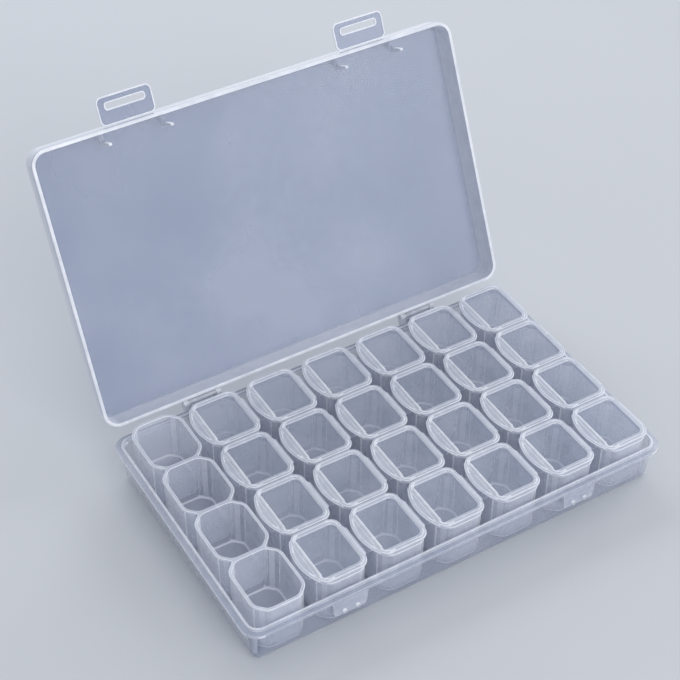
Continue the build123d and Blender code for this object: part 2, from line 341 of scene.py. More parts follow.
def mixed(tree, factor, a, b):
    """The output of a Mix node on two colours."""
    node = tree.nodes.new("ShaderNodeMix")
    node.data_type = "RGBA"
    for index, value in ((0, factor), (6, a), (7, b)):
        feed(tree, node.inputs[index], value)
    return node.outputs[2]


# Materials

FLOW_DETAIL = 2.0
HAZE_SIZE, HAZE_DETAIL = 260.0, 3.0
GRAIN_SIZE, GRAIN_DETAIL, GRAIN_SHARE = 2600.0, 2.0, 0.02
NOISE_LOW, NOISE_HIGH = 0.3, 0.7  # a noise's middle part, which gets stretched
SLANT_POWER, SLANT_WHITENESS = 3.0, 1.5
BUMP_STRENGTH, BUMP_DEPTH = 0.12, 0.3 * MM
POLYPROPYLENE_IOR = 1.49
SPECULAR = 0.6


def plastic_group():
    """Shader group: mottled translucent polypropylene, whiter and denser along its edges."""
    name = "Moulded Polypropylene"
    if name in bpy.data.node_groups:
        return bpy.data.node_groups[name]
    group = bpy.data.node_groups.new(name, "ShaderNodeTree")
    add_sockets(
        group,
        "INPUT",
        ("Film Color", "Color", (0.4, 0.45, 0.6, 1)),
        ("Edge Color", "Color", (0.8, 0.85, 0.95, 1)),
        ("Edge", "Float", 0.0),
        ("Film Cover", "Float", 0.3),
        ("Edge Cover", "Float", 0.85),
        ("Roughness", "Float", 0.3),
        ("Flow Size", "Float", 40.0),
    )
    add_sockets(
        group,
        "OUTPUT",
        ("Color", "Color"),
        ("Cover", "Float"),
        ("Roughness", "Float"),
        ("Height", "Float"),
    )
    nodes, links = group.nodes, group.links
    given = nodes.new("NodeGroupInput").outputs
    result = nodes.new("NodeGroupOutput").inputs
    coords = nodes.new("ShaderNodeTexCoord")

    def noise(scale, detail):
        node = nodes.new("ShaderNodeTexNoise")
        node.inputs["Detail"].default_value = detail
        feed(group, node.inputs["Scale"], scale)
        links.new(coords.outputs["Object"], node.inputs["Vector"])
        return node.outputs["Fac"]

    def remap(value, low, high):
        """Stretches a noise's middle part over low to high."""
        node = nodes.new("ShaderNodeMapRange")
        node.inputs["From Min"].default_value = NOISE_LOW
        node.inputs["From Max"].default_value = NOISE_HIGH
        node.inputs["To Min"].default_value = low
        node.inputs["To Max"].default_value = high
        links.new(value, node.inputs["Value"])
        return node.outputs["Result"]

    flow = noise(given["Flow Size"], FLOW_DETAIL)
    haze = noise(HAZE_SIZE, HAZE_DETAIL)
    grain = noise(GRAIN_SIZE, GRAIN_DETAIL)
    edge = maths(group, "MULTIPLY", given["Edge"], remap(haze, 0.85, 1.0), True)
    film = mixed(group, remap(flow, 0.0, 0.2), given["Film Color"], given["Edge Color"])
    links.new(mixed(group, edge, film, given["Edge Color"]), result["Color"])
    cover = maths(group, "MULTIPLY", given["Film Cover"], remap(flow, 0.9, 1.12))
    span = maths(group, "SUBTRACT", given["Edge Cover"], cover)
    denser = maths(group, "MULTIPLY", span, edge)
    links.new(maths(group, "ADD", cover, denser, True), result["Cover"])
    rough = maths(group, "MULTIPLY", given["Roughness"], remap(haze, 0.85, 1.2), True)
    links.new(rough, result["Roughness"])
    fine = maths(group, "MULTIPLY", grain, GRAIN_SHARE)
    links.new(maths(group, "ADD", fine, flow), result["Height"])
    return group


def plastic(name, film, film_cover, edge_cover, roughness, flow_size, graze):
    """A translucent plastic: film and edge colours from the panel, the rest for this piece."""
    look = bpy.context.scene.box_look
    edge_colour = (*look.edge, 1)
    material = bpy.data.materials.new(name)
    material.use_nodes = True
    tree = material.node_tree
    nodes, links = tree.nodes, tree.links
    shader = nodes["Principled BSDF"]
    group = nodes.new("ShaderNodeGroup")
    group.node_tree = plastic_group()
    for label, value in (
        ("Film Color", (*getattr(look, film), 1)),
        ("Edge Color", edge_colour),
        ("Film Cover", film_cover),
        ("Edge Cover", edge_cover),
        ("Roughness", roughness),
        ("Flow Size", flow_size),
    ):
        group.inputs[label].default_value = value
    glow = nodes.new("ShaderNodeAttribute")
    glow.attribute_name = "edge_glow"
    links.new(glow.outputs["Fac"], group.inputs["Edge"])
    links.new(group.outputs["Roughness"], shader.inputs["Roughness"])

    # Seen at a slant, a wall has more plastic in the line of sight: it looks whiter and denser.
    facing = nodes.new("ShaderNodeLayerWeight")
    facing.inputs["Blend"].default_value = 0.5
    slant = maths(tree, "POWER", facing.outputs["Facing"], SLANT_POWER)
    whiter = maths(tree, "MULTIPLY", slant, SLANT_WHITENESS, True)
    tone = mixed(tree, whiter, group.outputs["Color"], edge_colour)
    links.new(tone, shader.inputs["Base Color"])
    denser = maths(tree, "MULTIPLY", slant, graze)
    cover = maths(tree, "ADD", group.outputs["Cover"], denser, True)
    links.new(cover, shader.inputs["Alpha"])

    bump = nodes.new("ShaderNodeBump")
    bump.inputs["Strength"].default_value = BUMP_STRENGTH
    bump.inputs["Distance"].default_value = BUMP_DEPTH
    links.new(group.outputs["Height"], bump.inputs["Height"])
    links.new(bump.outputs["Normal"], shader.inputs["Normal"])
    shader.inputs["IOR"].default_value = POLYPROPYLENE_IOR
    shader.inputs["Specular IOR Level"].default_value = SPECULAR
    return material


def paint(name):
    """The plastic of that name, made on first use."""
    # film colour, film cover, edge cover, roughness, flow size, cover added at a slant
    kinds = {
        # The tray's dark film is partly painted shade for the gaps between the cups.
        "Tray Plastic": ("film", 0.17, 0.95, 0.26, 35.0, 0.45),
        "Lid Plastic": ("film", 0.46, 0.94, 0.18, 22.0, 0.80),
        "Cup Plastic": ("cup_film", 0.20, 0.92, 0.28, 60.0, 0.60),
        "Cup Lid Plastic": ("lid_film", 0.18, 0.90, 0.24, 80.0, 0.45),
    }
    return bpy.data.materials.get(name) or plastic(name, *kinds[name])


# Cup strips

NOTCH_ROUNDING = 0.25 * MM  # between two cups of a strip
BEAD_ROUNDING = 0.22 * MM
RIM_ROUNDING = 0.2 * MM  # on the rim's inner edge
POCKET_ROUNDING = 1.3 * MM  # round a cup's floor
LEDGE_DROP = 0.15 * MM  # from the rim down to a ledge's top
LEDGE_OUT = 0.2 * MM  # from the strip's side out to a ledge's middle
LEDGE_HALF = 0.95 * MM
LEDGE_PROFILE = ((0.2, 0.85), (0.0, 0.65), (0.0, 0.15), (0.15, 0.0))  # inset and depth, in mm
NEAR = 0.1 * MM  # a face this near a height counts as lying on it


def column_x(sizes, column):
    """Where a column's middle lies along the box."""
    return (column - (COLUMNS + 1) / 2) * sizes.column_pitch + sizes.offset


def strip_ring(sizes, inset, z):
    """Outline of a strip at one height: slanted ends and a notch where two cups meet."""
    half_x = sizes.width / 2 - inset
    half_y = ROWS * sizes.row_pitch / 2 - inset
    end = sizes.corner - inset * (2 - sqrt(2))
    notch = sizes.corner + inset * (sqrt(2) - 1)
    right = [(half_x - end, -half_y), (half_x, -half_y + end)]
    for row in range(1, ROWS):
        y = (row - ROWS / 2) * sizes.row_pitch
        right += [(half_x, y - notch), (half_x - notch, y), (half_x, y + notch)]
    right += [(half_x, half_y - end), (half_x - end, half_y)]
    sharp = [Vector(p) for p in right] + [Vector((-x, -y)) for x, y in right]
    rounding = max(sizes.rounding - inset, 0.3 * MM)
    side = [rounding] * 2 + [rounding, NOTCH_ROUNDING, rounding] * (ROWS - 1) + [rounding] * 2
    return round_vertices(sharp, side * 2, sizes.arc_steps), z


def strip_outside(sizes, rim):
    """The body of a strip up to its rim, with a rounded foot and a bead round the rim."""
    slope = tan(sizes.draft)
    rings = []
    for along, out in quarter(4):
        z = sizes.foot_height + sizes.foot_radius * along
        inset = (rim - z) * slope
        rings.append(strip_ring(sizes, inset + sizes.foot_radius * (1 - out), z))
    under = rim - sizes.bead_height
    rings.append(strip_ring(sizes, (rim - under) * slope, under))
    soft = BEAD_ROUNDING
    for along, out in quarter(2):
        rings.append(strip_ring(sizes, -sizes.bead + soft * (1 - out), under + soft * along))
    for along, out in reversed(quarter(3)):
        rings.append(strip_ring(sizes, -sizes.bead + soft * (1 - out), rim - soft * along))
    return loft("cup_strip_outside", rings)


def pocket_ring(sizes, inset, z):
    """Outline of a cup's hollow at one height."""
    half_x = sizes.width / 2 - sizes.wall - inset
    half_y = sizes.row_pitch / 2 - sizes.wall - inset
    corner = sizes.corner - (sizes.wall + inset) * (2 - sqrt(2))
    rounding = max(sizes.rounding - sizes.wall - inset, 0.6 * MM)
    return rounded_octagon(half_x, half_y, corner, rounding, sizes.arc_steps), z


def pocket_form(sizes, rim):
    """The hollow of one cup, with a rounded floor and a soft rim, to be cut from the strip."""
    slope = tan(sizes.draft)
    bottom = sizes.foot_height + sizes.floor
    rings = []
    for along, out in quarter(5):
        z = bottom + POCKET_ROUNDING * along
        inset = (rim - z) * slope
        rings.append(pocket_ring(sizes, inset + POCKET_ROUNDING * (1 - out), z))
    for along, out in quarter(3):
        z = rim - RIM_ROUNDING * (1 - out)
        inset = (rim - z) * slope
        rings.append(pocket_ring(sizes, inset - RIM_ROUNDING * along, z))
    rings.append(pocket_ring(sizes, -RIM_ROUNDING, rim + 0.5 * MM))
    return loft("cup_hollow", rings)


def ledge_form(sizes, lids):
    """The strip's half of one living hinge: a flat rounded bar standing out of the rim."""
    top = sizes.rim_height - LEDGE_DROP
    centre = Vector((sizes.width / 2 + LEDGE_OUT, 0))
    rings = []
    for inset, depth in LEDGE_PROFILE:
        half_x = LEDGE_HALF - inset * MM
        half_y = lids.hinge_length / 2 - inset * MM
        outline = rounded_octagon(half_x, half_y, 0.4 * MM, 0.5 * MM, 3)
        rings.append(([p + centre for p in outline], top - depth * MM))
    return loft("cup_ledge", rings)


def row_tree():
    """Geometry Nodes: cuts a row of hollows from a bar and adds a row of ledges."""
    name = "Cups Along A Strip"
    if name in bpy.data.node_groups:
        return bpy.data.node_groups[name]
    tree = bpy.data.node_groups.new(name, "GeometryNodeTree")
    add_sockets(
        tree,
        "INPUT",
        ("Geometry", "Geometry"),
        ("Hollow", "Object"),
        ("Ledge", "Object"),
        ("With Ledges", "Bool"),
        ("Rows", "Int"),
        ("Row Pitch", "Float"),
        ("Column Position", "Float"),
        ("Material", "Material"),
    )
    add_sockets(tree, "OUTPUT", ("Geometry", "Geometry"))
    nodes, links = tree.nodes, tree.links
    inputs = nodes.new("NodeGroupInput")
    outputs = nodes.new("NodeGroupOutput")
    last = maths(tree, "SUBTRACT", inputs.outputs["Rows"], 1)
    length = maths(tree, "MULTIPLY", last, inputs.outputs["Row Pitch"])
    start = nodes.new("ShaderNodeCombineXYZ")
    links.new(maths(tree, "MULTIPLY", length, -0.5), start.inputs["Y"])
    step = nodes.new("ShaderNodeCombineXYZ")
    links.new(inputs.outputs["Row Pitch"], step.inputs["Y"])
    line = nodes.new("GeometryNodeMeshLine")
    line.mode = "OFFSET"
    links.new(inputs.outputs["Rows"], line.inputs["Count"])
    links.new(start.outputs[0], line.inputs["Start Location"])
    links.new(step.outputs[0], line.inputs["Offset"])

    def along_line(source):
        info = nodes.new("GeometryNodeObjectInfo")
        links.new(source, info.inputs["Object"])
        place = nodes.new("GeometryNodeInstanceOnPoints")
        links.new(line.outputs["Mesh"], place.inputs["Points"])
        links.new(info.outputs["Geometry"], place.inputs["Instance"])
        return place.outputs["Instances"]

    def realized(source):
        node = nodes.new("GeometryNodeRealizeInstances")
        links.new(source, node.inputs["Geometry"])
        return node.outputs["Geometry"]

    ledged = nodes.new("GeometryNodeMeshBoolean")
    ledged.operation = "UNION"
    ledged.solver = "EXACT"
    links.new(inputs.outputs["Geometry"], ledged.inputs["Mesh 2"])
    links.new(realized(along_line(inputs.outputs["Ledge"])), ledged.inputs["Mesh 2"])
    switch = nodes.new("GeometryNodeSwitch")
    switch.input_type = "GEOMETRY"
    links.new(inputs.outputs["With Ledges"], switch.inputs["Switch"])
    links.new(inputs.outputs["Geometry"], switch.inputs["False"])
    links.new(ledged.outputs["Mesh"], switch.inputs["True"])
    cut = nodes.new("GeometryNodeMeshBoolean")
    cut.operation = "DIFFERENCE"
    cut.solver = "EXACT"
    links.new(switch.outputs["Output"], cut.inputs["Mesh 1"])
    links.new(realized(along_line(inputs.outputs["Hollow"])), cut.inputs["Mesh 2"])
    column = nodes.new("ShaderNodeCombineXYZ")
    links.new(inputs.outputs["Column Position"], column.inputs["X"])
    move = nodes.new("GeometryNodeTransform")
    links.new(cut.outputs["Mesh"], move.inputs["Geometry"])
    links.new(column.outputs[0], move.inputs["Translation"])
    paint_node = nodes.new("GeometryNodeSetMaterial")
    links.new(realized(move.outputs["Geometry"]), paint_node.inputs["Geometry"])
    links.new(inputs.outputs["Material"], paint_node.inputs["Material"])
    links.new(paint_node.outputs["Geometry"], outputs.inputs["Geometry"])
    return tree


def with_tree(name, mesh, tree, values):
    """The mesh that a Geometry Nodes tree makes of a mesh, with inputs given by name."""
    source = link(name + "_source", mesh)
    modifier = source.modifiers.new("Nodes", "NODES")
    modifier.node_group = tree
    for item in tree.interface.items_tree:
        if item.item_type == "SOCKET" and item.in_out == "INPUT" and item.name in values:
            modifier[item.identifier] = values[item.name]
    graph = bpy.context.evaluated_depsgraph_get()
    source.update_tag()
    graph.update()
    made = bpy.data.meshes.new_from_object(source.evaluated_get(graph), depsgraph=graph)
    made.name = name
    source.modifiers.remove(modifier)
    bpy.data.objects.remove(source)
    if not made.polygons:
        raise RuntimeError(f"{name} came out empty")
    return made


def cup_glow(sizes, rim, across):
    """Rule for a strip: bright lines along rim and foot, a painted highlight along the corners, plain
    walls.
    """

    def rule(centre, normal, width):
        row = round(centre.y / sizes.row_pitch + (ROWS - 1) / 2)
        middle = Vector((across, (row - (ROWS - 1) / 2) * sizes.row_pitch, centre.z))
        inside = normal.dot(centre - middle) < 0
        if centre.z > rim - BEAD_ROUNDING:
            return 0.35 if normal.z > 0.97 else 0.85
        if centre.z > rim - sizes.bead_height - NEAR and not inside:
            return 0.9 if normal.z < -0.2 else 0.3
        if centre.z < sizes.foot_height + sizes.foot_radius:
            return 1.0 if 0.1 < abs(normal.z) < 0.7 else 0.1
        curve_top = sizes.foot_height + sizes.floor + POCKET_ROUNDING + NEAR
        if centre.z < curve_top and normal.z > 0.05:
            return 0.7 if 0.45 < normal.z < 0.9 else 0.05
        # The inside slanted corners and the outside roundings are whiter: partly plastic seen
        # edge-on, partly a painted highlight of light caught by the corners.
        if inside:
            return 0.42 if near_angle(normal, SLANTS, 3) else 0.06
        return 0.75 if near_angle(normal, CORNER_ROUNDINGS, 5) else 0.05

    return rule


class BOX_OT_cup_strips(bpy.types.Operator):
    """Makes the seven strips of cups"""

    bl_idname = "storage_box.cup_strips"
    bl_label = "Cup Strips"

    def execute(self, context):
        sizes = context.scene.cup_sizes
        lids = context.scene.cup_lid_sizes
        ledge = link("cup_ledge", ledge_form(sizes, lids))
        for column in range(1, COLUMNS + 1):
            rim = sizes.rim_height if column > 1 else sizes.open_rim_height
            hollow = link("cup_hollow", pocket_form(sizes, rim))
            values = {
                "Hollow": hollow,
                "Ledge": ledge,
                "With Ledges": column > 1,
                "Rows": ROWS,
                "Row Pitch": sizes.row_pitch,
                "Column Position": column_x(sizes, column),
                "Material": paint("Cup Plastic"),
            }
            mesh = with_tree(f"cups_{column}", strip_outside(sizes, rim), row_tree(), values)
            bpy.data.objects.remove(hollow)
            rule = cup_glow(sizes, rim, column_x(sizes, column))
            node = f"cup_strip_{column}"
            finish_piece(f"cups_{column}", mesh, rule, node, "Cup Plastic")
        bpy.data.objects.remove(ledge)
        return {"FINISHED"}


# Cup lids

PLUG_WALL = 0.8 * MM
PLUG_ROUNDING = 0.25 * MM
PLATE_ROUNDING = 0.3 * MM  # along the plate's upper edge
GROOVE_START, GROOVE_END = 0.75 * MM, 1.3 * MM  # from the plate's edge inwards
GROOVE_SLOPE, GROOVE_DEPTH = 0.15 * MM, 0.16 * MM
TAB_THICKNESS = 0.8 * MM
TAB_STEPS = 28
# A groove and the outer edge on top of the tab: how far inwards and how far down, in mm
TAB_PROFILE = ((1.4, 0), (1.25, 0.12), (1.0, 0.12), (0.85, 0), (0.25, 0), (0.07, 0.07), (0, 0.25))
LIP_HALF = 6.8 * MM  # half the length of the lip under the finger tab
LIP_THICKNESS = 0.8 * MM
LIP_ROUNDING = 0.2 * MM
RIB_HALF = 8.6 * MM  # half the length of the rib between window and tab
LID_WIDE = 6 * MM  # faces wider than this are the window and the flat underside
LID_NARROW = 0.24 * MM  # faces narrower than this are softened edges


def plate_ring(lids, inset, z, steps):
    """Outline of a cup lid's plate at one height."""
    corner = max(lids.corner - inset, 0.5 * MM)
    outline = rounded_octagon(
        lids.width / 2 - inset, lids.length / 2 - inset, corner * (2 - sqrt(2)), corner, steps
    )
    return outline, z


def lid_form(cups, lids):
    """One cup lid about its own centre: hollow plug, plate, double border line and sunk window."""
    steps = cups.arc_steps
    bottom = lids.bottom
    top = bottom + lids.thickness
    plug_end = bottom - lids.plug_depth

    def plug_ring(inset, z):
        half_x = cups.width / 2 - cups.wall - lids.plug_gap - inset
        half_y = cups.row_pitch / 2 - cups.wall - lids.plug_gap - inset
        corner = cups.corner - (cups.wall + inset) * (2 - sqrt(2))
        return rounded_octagon(half_x, half_y, corner, 1.6 * MM, steps), z

    def window_ring(inset, z):
        half_x = lids.window_width / 2 - inset
        half_y = lids.window_length / 2 - inset
        return rounded_octagon(half_x, half_y, 1.3 * MM, 1.8 * MM, steps, 0.3), z

    rings = [
        plug_ring(PLUG_WALL, bottom),
        plug_ring(PLUG_WALL, plug_end + 0.2 * MM),
        plug_ring(PLUG_WALL - PLUG_ROUNDING, plug_end),
        plug_ring(PLUG_ROUNDING, plug_end),
        plug_ring(0.0, plug_end + 0.3 * MM),
        plug_ring(0.0, bottom),
        plate_ring(lids, 0.18 * MM, bottom, steps),
        plate_ring(lids, 0.0, bottom + 0.18 * MM, steps),
        plate_ring(lids, 0.0, top - PLATE_ROUNDING, steps),
        plate_ring(lids, 0.3 * PLATE_ROUNDING, top - 0.3 * PLATE_ROUNDING, steps),
        plate_ring(lids, PLATE_ROUNDING, top, steps),
        plate_ring(lids, GROOVE_START, top, steps),
        plate_ring(lids, GROOVE_START + GROOVE_SLOPE, top - GROOVE_DEPTH, steps),
        plate_ring(lids, GROOVE_END - GROOVE_SLOPE, top - GROOVE_DEPTH, steps),
        plate_ring(lids, GROOVE_END, top, steps),
        window_ring(-0.15 * MM, top),
        window_ring(0.0, top - 0.12 * MM),
        window_ring(0.15 * MM, top - lids.window_depth),
    ]
    return loft("cup_lid_plate", rings)


def tab_form(lids):
    """The finger tab: a crescent plate with a lip that hangs from its outer edge."""
    left = -lids.width / 2
    half = lids.tab_length / 2
    radius = (lids.tab_reach**2 + half**2) / (2 * lids.tab_reach)
    centre = left - lids.tab_reach + radius
    plate_top = lids.bottom + TAB_THICKNESS
    keep = left + 0.8 * MM
    shape = bmesh.new()
    section_loops = []
    for i in range(TAB_STEPS + 1):
        y = half * (2 * i / TAB_STEPS - 1)
        out = centre - sqrt(radius**2 - y**2)
        drop = 0.0
        if abs(y) < LIP_HALF:
            lip_end = 1 - (abs(y) / LIP_HALF) ** 4
            drop = 0.15 * MM + (lids.tab_depth - TAB_THICKNESS) * sqrt(lip_end)
        lip_bottom = lids.bottom - drop
        points = [(keep, plate_top)]
        points += [(out + inward * MM, plate_top - down * MM) for inward, down in TAB_PROFILE]
        points += [
            (out, lip_bottom + LIP_ROUNDING),
            (out + LIP_ROUNDING, lip_bottom),
            (out + LIP_THICKNESS - LIP_ROUNDING, lip_bottom),
            (out + LIP_THICKNESS, min(lip_bottom + LIP_ROUNDING, lids.bottom)),
            (out + LIP_THICKNESS, lids.bottom),
            (keep, lids.bottom),
        ]
        section_loops.append([shape.verts.new((min(x, keep), y, z)) for x, z in points])
    count = len(section_loops[0])
    for low, high in zip(section_loops, section_loops[1:]):
        for i in range(count):
            j = (i + 1) % count
            shape.faces.new((low[i], low[j], high[j], high[i]))
    shape.faces.new(section_loops[0])
    shape.faces.new(list(reversed(section_loops[-1])))
    bmesh.ops.remove_doubles(shape, verts=shape.verts, dist=MERGE)
    bmesh.ops.dissolve_degenerate(shape, edges=shape.edges, dist=MERGE / 2)
    bmesh.ops.recalc_face_normals(shape, faces=shape.faces)
    mesh = bpy.data.meshes.new("cup_lid_tab")
    shape.to_mesh(mesh)
    shape.free()
    return mesh


def bar_form(name, low, high, soft):
    """A straight bar between two corners with softened edges."""
    half_x = (high[0] - low[0]) / 2
    half_y = (high[1] - low[1]) / 2
    centre = Vector(((low[0] + high[0]) / 2, (low[1] + high[1]) / 2))
    rings = []
    for inset, z in ((soft, low[2]), (0, low[2] + soft), (0, high[2] - soft), (soft, high[2])):
        outline = rounded_octagon(half_x - inset, half_y - inset, soft, soft, 2)
        rings.append(([p + centre for p in outline], z))
    return loft(name, rings)


def lid_bars(lids):
    """The bars that a lid carries, each with its low and high corner and the softness of edges."""
    left, right = -lids.width / 2, lids.width / 2
    front = -lids.length / 2
    window = -lids.window_width / 2
    hinge = lids.hinge_length / 2
    top = lids.bottom + lids.thickness
    return {
        "Rib": (
            (window - 0.9 * MM, -RIB_HALF, top - 0.4 * MM),
            (window + 0.1 * MM, RIB_HALF, top + 0.3 * MM),
            0.2 * MM,
        ),
        "Hinge": (
            (right - 0.9 * MM, -hinge, lids.bottom + 0.01 * MM),
            (right + 0.4 * MM, hinge, lids.bottom + 0.6 * MM),
            0.12 * MM,
        ),
        "Nub": (
            (left + 2.7 * MM, front + 0.05 * MM, top - 0.3 * MM),
            (left + 5.4 * MM, front + 1.05 * MM, top + 0.25 * MM),
            0.24 * MM,
        ),
    }


def lid_tree():
    """Geometry Nodes: joins a lid's plate with its tab, rib, hinge and nub."""
    name = "Lid On Its Cup"
    if name in bpy.data.node_groups:
        return bpy.data.node_groups[name]
    tree = bpy.data.node_groups.new(name, "GeometryNodeTree")
    labels = ("Tab", "Rib", "Hinge", "Nub")
    add_sockets(tree, "INPUT", ("Geometry", "Geometry"), *((n, "Object") for n in labels))
    add_sockets(tree, "OUTPUT", ("Geometry", "Geometry"))
    nodes, links = tree.nodes, tree.links
    inputs = nodes.new("NodeGroupInput")
    outputs = nodes.new("NodeGroupOutput")
    joined = nodes.new("GeometryNodeMeshBoolean")
    joined.operation = "UNION"
    joined.solver = "EXACT"
    links.new(inputs.outputs["Geometry"], joined.inputs["Mesh 2"])
    for label in labels:
        info = nodes.new("GeometryNodeObjectInfo")
        links.new(inputs.outputs[label], info.inputs["Object"])
        links.new(info.outputs["Geometry"], joined.inputs["Mesh 2"])
    links.new(joined.outputs["Mesh"], outputs.inputs["Geometry"])
    return tree


def place_tree():
    """Geometry Nodes: carries a finished lid to one cell of the grid of cups."""
    name = "Lid In The Grid"
    if name in bpy.data.node_groups:
        return bpy.data.node_groups[name]
    tree = bpy.data.node_groups.new(name, "GeometryNodeTree")
    add_sockets(tree, "INPUT", ("Geometry", "Geometry"))
    add_sockets(tree, "INPUT", ("Cup Position", "Vector"), ("Material", "Material"))
    add_sockets(tree, "OUTPUT", ("Geometry", "Geometry"))
    nodes, links = tree.nodes, tree.links
    inputs = nodes.new("NodeGroupInput")
    outputs = nodes.new("NodeGroupOutput")
    move = nodes.new("GeometryNodeTransform")
    links.new(inputs.outputs["Geometry"], move.inputs["Geometry"])
    links.new(inputs.outputs["Cup Position"], move.inputs["Translation"])
    real = nodes.new("GeometryNodeRealizeInstances")
    links.new(move.outputs["Geometry"], real.inputs["Geometry"])
    paint_node = nodes.new("GeometryNodeSetMaterial")
    links.new(real.outputs["Geometry"], paint_node.inputs["Geometry"])
    links.new(inputs.outputs["Material"], paint_node.inputs["Material"])
    links.new(paint_node.outputs["Geometry"], outputs.inputs["Geometry"])
    return tree


def lid_glow(lids):
    """Rule for a cup lid: bright lines along frame, rib and tab, a clear window."""
    top = lids.bottom + lids.thickness

    def rule(centre, normal, width):
        if width > LID_WIDE:
            return 0.0
        if centre.z > top + 0.02 * MM:
            return 0.85
        if width < LID_NARROW:
            return 0.9
        if centre.z < lids.bottom - 0.05 * MM:
            return 0.2
        return 0.5

    return rule


class BOX_OT_cup_lids(bpy.types.Operator):
    """Makes the flip lids of columns two to seven"""

    bl_idname = "storage_box.cup_lids"
    bl_label = "Cup Lids"

    def execute(self, context):
        cups = context.scene.cup_sizes
        lids = context.scene.cup_lid_sizes
        parts = {"Tab": link("cup_lid_tab", tab_form(lids))}
        for label, (low, high, soft) in lid_bars(lids).items():
            name = "cup_lid_" + label.lower()
            parts[label] = link(name, bar_form(name, low, high, soft))
        whole = with_tree("cup_lid", lid_form(cups, lids), lid_tree(), parts)
        for column in range(2, COLUMNS + 1):
            for row in range(1, ROWS + 1):
                y = (row - (ROWS + 1) / 2) * cups.row_pitch
                values = {
                    "Cup Position": (column_x(cups, column), y, 0.0),
                    "Material": paint("Cup Lid Plastic"),
                }
                name = f"flip_lid_{column}_{row}"
                mesh = with_tree(name, whole.copy(), place_tree(), values)
                node = f"cup_lid_{column}_{row}"
                finish_piece(name, mesh, lid_glow(lids), node, "Cup Lid Plastic")
        for form in parts.values():
            bpy.data.objects.remove(form)
        return {"FINISHED"}


# Tray, big lid and latches keep the source's solids, with their edges softened

SOFTENING = 0.2 * MM
SHARP_ABOVE = radians(35)  # edges that bend more than this are softened
FLAT_BELOW = radians(0.4)  # and faces that bend less than this are joined
NARROW = 0.26 * MM  # faces narrower than this belong to softened edges
FLAP_BORDER = 0.3 * MM
FLAP_BORDER_LIMIT = 0.31 * MM
LID_TURN = radians(115)
LID_AWAY = Vector((0, sin(LID_TURN), cos(LID_TURN)))  # the shut lid's up, on the open lid
LID_BACK = Vector((0, cos(LID_TURN), -sin(LID_TURN)))  # the shut lid's +Y, on the open lid
LID_HINGE = Vector((0, 55.3 * MM, 18.7 * MM))
LID_RIM = 16.6 * MM  # height of the lid's rim when shut
LID_SIDE = 80 * MM  # the side walls lie past this, from the middle
LID_FRONT_WALL, LID_BACK_WALL = -104 * MM, -6 * MM  # and these walls past this, from the hinge
TRAY_FOOT_TOP = 4.0 * MM
TRAY_FLANGE_LOW = 15.0 * MM
TRAY_FLANGE_FACE = 15.4 * MM
TRAY_FLANGE_TOP = 17.0 * MM
FLANGE_SIDE, FLANGE_FRONT = 87 * MM, 53 * MM  # the flange's outer faces lie past these
TONGUE_FACE, EAR_FACE = -52.3 * MM, 52.5 * MM  # tongues lie in front of this, ears behind that


def soften(node, name, outline):
    """A copy of a CAD node with its doubles merged, its flats joined and its edges rounded.

    With an outline, the flats along the big lid's panel get a narrow border of their own.
    """
    shape = bmesh.new()
    shape.from_mesh(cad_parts[node].data)
    bmesh.ops.remove_doubles(shape, verts=shape.verts, dist=MERGE)
    bmesh.ops.dissolve_limit(shape, angle_limit=FLAT_BELOW, verts=shape.verts, edges=shape.edges)
    sharp = [
        e for e in shape.edges if len(e.link_faces) == 2 and e.calc_face_angle(0) > SHARP_ABOVE
    ]
    bmesh.ops.bevel(
        shape,
        geom=sharp,
        offset=SOFTENING,
        offset_type="WIDTH",
        segments=2,
        profile=0.5,
        affect="EDGES",
        clamp_overlap=True,
    )
    bmesh.ops.recalc_face_normals(shape, faces=shape.faces)
    if outline > 0:
        flats = [f for f in shape.faces if abs(f.normal.dot(LID_AWAY)) > 0.98]
        bmesh.ops.inset_region(
            shape, faces=flats, thickness=outline, depth=0, use_boundary=True, use_even_offset=True
        )
    mesh = bpy.data.meshes.new(name)
    shape.to_mesh(mesh)
    shape.free()
    return mesh


def tray_glow(centre, normal, width):
    """Rule for the tray: bright softened edges, light flange, tongues and ears."""
    if centre.z < TRAY_FOOT_TOP:
        return 0.2 if width < 0.3 * MM else 0.0
    if width < NARROW:
        return 1.0
    if centre.z > TRAY_FLANGE_FACE and abs(normal.z) < 0.5:
        return 0.8 if abs(centre.x) > FLANGE_SIDE or abs(centre.y) > FLANGE_FRONT else 0.5
    if centre.y < TONGUE_FACE or centre.y > EAR_FACE:
        return 0.4
    if centre.z > TRAY_FLANGE_TOP:
        return 0.8
    if centre.z > TRAY_FLANGE_LOW:
        return 0.4
    if near_angle(normal, SLANTS, 8) and width < 2 * MM:
        return 0.4
    return 0.0


def big_lid_glow(centre, normal, width):
    """Rule for the big lid, on the lid's own axes: bright rim, fins and edges, light walls."""
    arm = centre - LID_HINGE
    above_rim = arm.dot(LID_AWAY) + LID_HINGE.z - LID_RIM
    along = arm.dot(LID_BACK)
    if above_rim < 0.05 * MM or width < NARROW:
        return 0.95
    if abs(normal.x) > 0.9 and abs(centre.x) < LID_SIDE:
        return 0.6
    if abs(normal.dot(LID_AWAY)) < 0.3:
        at_end = along < LID_FRONT_WALL or along > LID_BACK_WALL
        return 0.5 if at_end or abs(centre.x) > LID_SIDE else 0.4
    return 0.3 if width < 1.2 * MM else 0.0


def latch_glow(centre, normal, width):
    """Rule for a latch flap: a bright outline round flap and slot."""
    flat = abs(normal.dot(LID_AWAY)) > 0.95
    return 0.04 if flat and width > FLAP_BORDER_LIMIT else 1.0


def softened_piece(node, name, material, rule, outline=0.0):
    """A piece made from the CAD node, with softened edges."""
    finish_piece(name, soften(node, name, outline), rule, node, material)


class BOX_OT_tray(bpy.types.Operator):
    """Makes the tray with its flange, tongues, ears and pins"""

    bl_idname = "storage_box.tray"
    bl_label = "Tray"

    def execute(self, context):
        softened_piece("base_tray", "tray", "Tray Plastic", tray_glow)
        return {"FINISHED"}


